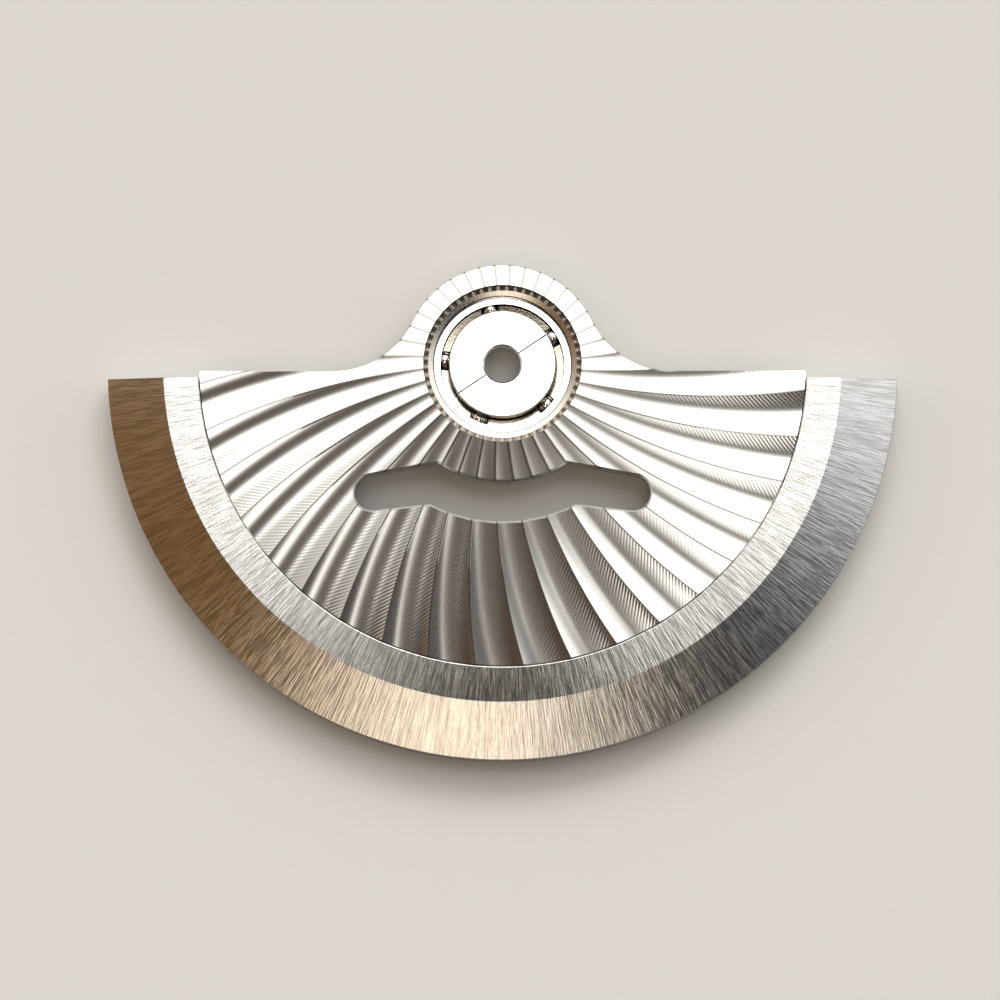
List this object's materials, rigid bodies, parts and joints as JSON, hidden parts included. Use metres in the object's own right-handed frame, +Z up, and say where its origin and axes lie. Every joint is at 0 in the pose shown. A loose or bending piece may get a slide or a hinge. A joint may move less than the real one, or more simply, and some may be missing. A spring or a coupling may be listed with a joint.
{
  "type": "automatic watch rotor",
  "caption": "Half-disc winding rotor for an automatic watch: fluted plate with a curved cut-out, heavy brushed rim and a caged ball bearing hub that screws to the movement.",
  "frame": {"origin": "on the spin axis, at the seat face under the hub core", "axes": "+Z up along the spin axis, towards the fluted face; -Y towards the middle of the heavy rim; the rim's two ends lie towards -X and +X"},
  "size_m": [0.026, 0.0163, 0.0016],
  "materials": {
    "plate_nickel": "nickel plated, fluted, bright",
    "rim_heavy_metal": "radially brushed",
    "pin_steel": "turned",
    "ring_steel": "serrated",
    "race_steel": "polished",
    "gear_steel": "cut teeth",
    "cage_brass": "satin",
    "ball_steel": "polished",
    "core_steel": "turned",
    "cap_steel": "polished"
  },
  "bodies": {
    "hub": {"hub_core": "core_steel", "race_cone": "race_steel", "race_cap_back": "cap_steel", "race_cap_front": "cap_steel"},
    "rotor": {"rotor_plate": "plate_nickel", "rim_weight": "rim_heavy_metal", "rim_pin_1": "pin_steel", "rim_pin_2": "pin_steel", "rim_pin_3": "pin_steel", "rim_pin_4": "pin_steel", "rim_pin_5": "pin_steel", "lock_ring": "ring_steel", "bearing_outer_ring": "race_steel", "drive_gear": "gear_steel"},
    "cage": {"ball_cage": "cage_brass"},
    "ball_1_body": {"ball_1": "ball_steel"},
    "ball_2_body": {"ball_2": "ball_steel"},
    "ball_3_body": {"ball_3": "ball_steel"},
    "ball_4_body": {"ball_4": "ball_steel"},
    "ball_5_body": {"ball_5": "ball_steel"}
  },
  "joints": [
    {"name": "rotor_spin", "type": "hinge", "parent": "hub", "child": "rotor", "pos_m": [0, 0, 0], "axis": [0, 0, 1], "continuous": true},
    {"name": "cage_spin", "type": "hinge", "parent": "hub", "child": "cage", "pos_m": [0, 0, 0], "axis": [0, 0, 1], "continuous": true},
    {"name": "ball_1_spin", "type": "hinge", "parent": "cage", "child": "ball_1_body", "pos_m": [0.00165, 0.00096, 0.00047], "axis": [0, 0, 1], "continuous": true},
    {"name": "ball_2_spin", "type": "hinge", "parent": "cage", "child": "ball_2_body", "pos_m": [-0.00041, 0.00187, 0.00047], "axis": [0, 0, 1], "continuous": true},
    {"name": "ball_3_spin", "type": "hinge", "parent": "cage", "child": "ball_3_body", "pos_m": [-0.0019, 0.00019, 0.00047], "axis": [0, 0, 1], "continuous": true},
    {"name": "ball_4_spin", "type": "hinge", "parent": "cage", "child": "ball_4_body", "pos_m": [-0.00077, -0.00175, 0.00047], "axis": [0, 0, 1], "continuous": true},
    {"name": "ball_5_spin", "type": "hinge", "parent": "cage", "child": "ball_5_body", "pos_m": [0.00143, -0.00127, 0.00047], "axis": [0, 0, 1], "continuous": true}
  ],
  "couplings": [
    {"joint": "cage_spin", "follows": "rotor_spin", "ratio": 0.57853},
    {"joint": "ball_1_spin", "follows": "rotor_spin", "ratio": 3.1048},
    {"joint": "ball_2_spin", "follows": "rotor_spin", "ratio": 3.1048},
    {"joint": "ball_3_spin", "follows": "rotor_spin", "ratio": 3.1048},
    {"joint": "ball_4_spin", "follows": "rotor_spin", "ratio": 3.1048},
    {"joint": "ball_5_spin", "follows": "rotor_spin", "ratio": 3.1048}
  ]
}
